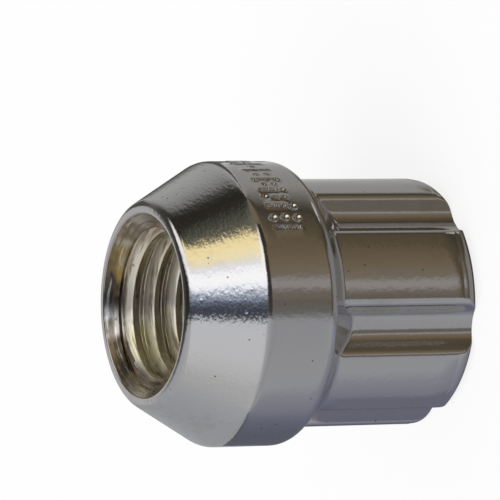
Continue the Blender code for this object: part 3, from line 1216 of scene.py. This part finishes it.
@dataclass
class StudioWalls:
    """A sphere of pale table, brown room and window light for the chrome to mirror.

    The camera doesn't see it and it throws no light on the floor: it is the set of cards
    and flags that a metal object is photographed in. Each stop is an angle in degrees
    and a colour, as shares of the brightest card.
    """

    radius: float = 1.6
    brightest: float = 1.55
    horizon: float = -7.5
    haze: float = 3.5
    table: Tones = (
        (-180, 0.27, 0.275, 0.285), (-140, 0.285, 0.295, 0.32), (-75, 0.33, 0.338, 0.352),
        (-30, 0.385, 0.388, 0.392), (-8, 0.385, 0.388, 0.398), (25, 0.3, 0.305, 0.32),
        (50, 0.248, 0.252, 0.272), (62, 0.27, 0.275, 0.29), (80, 0.275, 0.282, 0.3),
        (98, 0.215, 0.222, 0.255), (128, 0.175, 0.18, 0.225), (152, 0.12, 0.125, 0.17),
        (176, 0.086, 0.09, 0.118), (180, 0.08, 0.085, 0.105),
    )
    room: Tones = (
        (-180, 0.09, 0.094, 0.09), (-172, 0.052, 0.056, 0.053), (-168, 0.15, 0.153, 0.15),
        (-164, 0.295, 0.297, 0.295), (-158, 0.3, 0.302, 0.3), (-147, 0.255, 0.258, 0.258),
        (-131, 0.16, 0.158, 0.158), (-117, 0.05, 0.049, 0.045), (-95, 0.02, 0.018, 0.014),
        (-60, 0.024, 0.022, 0.017), (-38, 0.06, 0.06, 0.048), (-20, 0.125, 0.118, 0.09),
        (40, 0.15, 0.12, 0.085), (60, 0.135, 0.108, 0.068), (70, 0.085, 0.066, 0.042),
        (82, 0.072, 0.058, 0.04), (99, 0.041, 0.036, 0.027), (113, 0.082, 0.076, 0.064),
        (135, 0.16, 0.151, 0.14), (150, 0.225, 0.218, 0.208), (172, 0.245, 0.242, 0.24),
        (177, 0.27, 0.27, 0.27), (180, 0.4, 0.4, 0.4),
    )
    cards: tuple[Card, ...] = (
        Card(-14.0, 20.0, 9.0, (
            (-62, 0.405, 0.408, 0.412), (-50, 0.455, 0.46, 0.47), (-40, 0.485, 0.49, 0.51),
            (-22, 0.49, 0.5, 0.53), (-8, 0.48, 0.49, 0.52),
        )),
        Card(-22.0, 34.0, 6.0, (
            (-12, 0.13, 0.14, 0.16), (-9, 0.05, 0.056, 0.072), (-3, 0.045, 0.05, 0.066),
            (3, 0.13, 0.15, 0.2), (8, 0.34, 0.38, 0.47), (13, 0.87, 0.89, 0.96), (20, 0.98, 0.99, 1.0),
            (26, 0.9, 0.91, 0.96), (30, 0.7, 0.72, 0.78), (33, 0.78, 0.72, 0.56), (40, 0.88, 0.76, 0.44),
            (49, 0.83, 0.68, 0.37), (51.5, 0.5, 0.42, 0.24), (55.5, 0.12, 0.118, 0.09),
        )),
        Card(6.0, 10.0, 3.0, (
            (22, 0.93, 0.92, 0.93), (46, 0.9, 0.88, 0.87), (60, 0.5, 0.48, 0.44),
        )),
        Card(32.0, 18.0, 5.0, (
            (-9, 0.045, 0.042, 0.045), (12, 0.032, 0.028, 0.028), (40, 0.04, 0.032, 0.024),
            (64, 0.022, 0.018, 0.014),
        )),
        Card(56.0, 16.0, 5.0, (
            (-10, 0.2, 0.205, 0.21), (-5, 0.12, 0.118, 0.112), (2, 0.115, 0.098, 0.08),
            (9, 0.145, 0.128, 0.11), (13, 0.24, 0.228, 0.225), (17, 0.24, 0.226, 0.218),
            (21, 0.16, 0.138, 0.112), (30, 0.145, 0.116, 0.078), (44, 0.11, 0.085, 0.052),
        )),
        Card(116.0, 10.0, 4.0, (
            (44, 0.42, 0.415, 0.41), (54, 0.46, 0.455, 0.45),
        )),
        Card(149.0, 18.0, 5.0, (
            (-12, 0.09, 0.09, 0.095), (-6, 0.055, 0.053, 0.052), (8, 0.05, 0.036, 0.026),
            (22, 0.07, 0.058, 0.04), (36, 0.1, 0.085, 0.065),
        )),
        Card(109.0, 24.0, 6.0, (
            (-7, 0.195, 0.192, 0.195), (14, 0.185, 0.182, 0.18), (30, 0.165, 0.16, 0.152),
        )),
        Card(-142.0, 16.0, 5.0, (
            (6, 0.06, 0.06, 0.06), (26, 0.06, 0.06, 0.06),
        )),
        Card(-138.0, 15.0, 4.0, (
            (-14, 0.37, 0.37, 0.375), (4, 0.37, 0.37, 0.37), (10, 0.33, 0.33, 0.325),
        )),
        Card(-74.0, 24.0, 6.0, (
            (12, 0.2, 0.2, 0.2), (19, 0.8, 0.78, 0.78), (34, 0.86, 0.82, 0.81), (44, 0.2, 0.19, 0.18),
        )),
    )

    def build(self, view: PhotoCamera) -> bpy.types.Object:
        """Add the sphere.

        Args:
            view: The camera, whose directions the turns and rises are measured from.

        Returns:
            The sphere, marked as part of the stage.
        """
        lat, lon = np.meshgrid(np.linspace(-math.pi / 2, math.pi / 2, 33)[1:-1],
                               np.linspace(0.0, TAU, 65)[:-1], indexing="ij")
        ring = round_axis(np.cos(lat), np.sin(lat), lon)
        verts = np.concatenate([ring, [[0.0, 0.0, -1.0], [0.0, 0.0, 1.0]]]) * self.radius
        index = np.arange(lat.size).reshape(lat.shape)
        after = np.roll(index, -1, axis=1)
        low = np.stack([np.full_like(index[0], lat.size), index[0], after[0]], axis=-1)
        high = np.stack([np.full_like(index[0], lat.size + 1), after[-1], index[-1]], axis=-1)
        faces = ring_faces(index)[:, ::-1].tolist() + low.tolist() + high.tolist()
        walls = stage_object("studio_walls", verts, faces, self.material(view),
                             ("camera", "diffuse", "shadow"))
        walls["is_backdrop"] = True
        return walls

    def material(self, view: PhotoCamera) -> Material:
        """Build the glowing material of the walls.

        A direction's rise is the arcsine of its share along the photograph's upright, and
        its turn is the arctangent of its shares to the right and towards the camera.

        Args:
            view: The camera, whose directions the turns and rises are measured from.

        Returns:
            The new material.
        """
        material, nodes = start_stage_material("studio_walls")
        heading = nodes.add("VectorMath", operation="NORMALIZE")
        nodes.feed(heading.inputs[0], nodes.add("TexCoord").outputs["Object"])

        def share(axis: Point) -> Socket:
            """Share of the direction along an axis.

            Args:
                axis: The axis, of length 1.

            Returns:
                Their scalar product.
            """
            dot = nodes.add("VectorMath", operation="DOT_PRODUCT")
            nodes.feed(dot.inputs[0], heading.outputs["Vector"])
            nodes.feed(dot.inputs[1], axis)
            return dot.outputs["Value"]

        rise = nodes.math("DEGREES", nodes.math("ARCSINE", share(view.up)))
        turn = nodes.math("DEGREES", nodes.math("ARCTAN2", share(view.right), share(view.back)))
        above = nodes.ramp(rise, self.horizon - self.haze, self.horizon + self.haze)
        colour = nodes.blend(above, nodes.tones(turn, self.table), nodes.tones(turn, self.room))
        for card in self.cards:
            aside = nodes.math("ABSOLUTE", nodes.math("SUBTRACT", turn, card.turn))
            inside = nodes.ramp(aside, card.half_turn + card.edge, card.half_turn - card.edge)
            foot, top = card.tones[0][0], card.tones[-1][0]
            over = nodes.ramp(rise, foot - card.edge / 2, foot + card.edge / 2)
            under = nodes.ramp(rise, top + card.edge / 2, top - card.edge / 2)
            colour = nodes.blend(nodes.product(inside, over, under), colour, nodes.tones(rise, card.tones))
        glow = nodes.add("Emission", Color=colour, Strength=self.brightest)
        nodes.add("OutputMaterial", Surface=glow.outputs[0])
        return material


@dataclass
class NearShade:
    """The shaded strip of table close under the lobes, which only mirror rays see.

    The walls are far away, so they can't show what lies right beside the metal: this
    flag stands for the nut's own shade on the table, and fades out at its edges.
    """

    side: float = -0.0122
    span: tuple[float, float] = (-0.0090, -0.0040)
    run: tuple[float, float] = (-0.0050, 0.0095)
    edge: float = 0.0012
    glow: Colour = (0.200, 0.200, 0.265)

    def build(self) -> bpy.types.Object:
        """Add the flag.

        Returns:
            The flag, marked as part of the stage.
        """
        (left, right), (foot, top) = self.span, self.run
        verts = np.array([(self.side, left, foot), (self.side, right, foot),
                          (self.side, right, top), (self.side, left, top)])
        shade = stage_object("near_shade", verts, [[0, 1, 2, 3]], self.material(),
                             ("camera", "diffuse", "shadow"))
        shade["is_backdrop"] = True
        return shade

    def material(self) -> Material:
        """Build the flag's material: an even glow that turns clear towards the edges.

        Returns:
            The new material.
        """
        material, nodes = start_stage_material("near_shade")
        place = nodes.add("SeparateXYZ", Vector=nodes.add("TexCoord").outputs["Object"]).outputs
        mask = nodes.product(*(
            nodes.ramp(place[axis], start, full)
            for axis, (low, high) in (("Y", self.span), ("Z", self.run))
            for start, full in ((low, low + self.edge), (high, high - self.edge))
        ))
        mix = nodes.mixed_shader(mask, nodes.add("BsdfTransparent"), nodes.add("Emission", Color=self.glow))
        nodes.add("OutputMaterial", Surface=mix)
        return material


@dataclass
class PaleFloor:
    """A plain white floor that keeps a soft shadow under the nut."""

    radii: tuple[float, ...] = (0.02, 0.06, 0.2, 0.6, 1.3)
    colour: Colour = (0.93, 0.93, 0.93)
    white_share: float = 0.84

    def build(self) -> bpy.types.Object:
        """Add the floor as a disc of rings round the nut.

        Returns:
            The floor, marked as part of the stage.
        """
        radius, angle = np.meshgrid(self.radii, np.linspace(0.0, TAU, 97)[:-1], indexing="ij")
        verts = round_axis(radius, np.zeros_like(angle), angle)
        index = np.arange(angle.size).reshape(angle.shape)
        faces = ring_faces(index)[:, ::-1].tolist() + [index[0].tolist()]
        floor = stage_object("pale_floor", verts, faces, self.material(), ("glossy",))
        floor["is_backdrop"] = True
        return floor

    def material(self) -> Material:
        """Build the floor's material: part pale paint under the lamps, part plain white.

        Returns:
            The new material.
        """
        material, nodes = start_stage_material("pale_floor")
        share = nodes.product(seen_directly(nodes), self.white_share)
        mix = nodes.mixed_shader(share, nodes.add("BsdfDiffuse", Color=self.colour), nodes.add("Emission"))
        nodes.add("OutputMaterial", Surface=mix)
        return material


def seen_directly(nodes: Nodes) -> Socket:
    """Output 1 for camera, glossy and transmission rays, and 0 for the others."""
    path = nodes.add("LightPath").outputs
    return nodes.chain("MAXIMUM", *(path[f"Is {ray} Ray"] for ray in ("Camera", "Glossy", "Transmission")))


@dataclass
class SoftLight:
    """Plain daylight: an even sky for the floor and one wide lamp that casts the shadow."""

    white: Colour = (1.0, 1.0, 1.0)
    sky: float = 0.55
    lamp: float = 1.75
    lamp_width: float = math.radians(50.0)
    lamp_tilt: Point = (math.radians(28.0), math.radians(-18.0), 0.0)

    def build(self) -> None:
        """Add the world and the lamp."""
        world = bpy.data.worlds.new("white_studio")
        bpy.context.scene.world = world
        world.use_nodes = True
        nodes = Nodes(world.node_tree)
        nodes.tree.nodes.clear()
        sky = nodes.add("Background", Color=self.white, Strength=self.sky)
        backdrop = nodes.add("Background", Color=self.white, Strength=1.0)
        nodes.add("OutputWorld", Surface=nodes.mixed_shader(seen_directly(nodes), sky, backdrop))
        lamp = bpy.data.lights.new("wide_lamp", "SUN")
        lamp.energy, lamp.angle = self.lamp, self.lamp_width
        holder = linked("wide_lamp", lamp)
        holder.rotation_euler = self.lamp_tilt
        holder.visible_glossy = False


def corners() -> list[list[float]]:
    """Lowest and highest corner of what is shown, as plain lists."""
    return [[float(value) for value in corner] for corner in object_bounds()]


def main() -> None:
    """Build the nut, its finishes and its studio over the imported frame."""
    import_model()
    nut = LugNut()
    piece = nut.build("lug_nut_surface")
    nut.dress(piece)
    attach(piece, "root")
    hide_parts("lug_nut")
    LOG.info("lug_nut_surface: %d faces", len(piece.data.polygons))
    camera = PhotoCamera()
    camera.build()
    StudioWalls().build(camera)
    NearShade().build()
    PaleFloor().build()
    SoftLight().build()
    LOG.info("studio: walls, shade, floor and one wide lamp")
    bpy.context.scene.view_settings.view_transform = "Standard"


if __name__ == "__main__":
    logging.basicConfig(level=logging.INFO, format="%(name)s %(message)s")
    main()
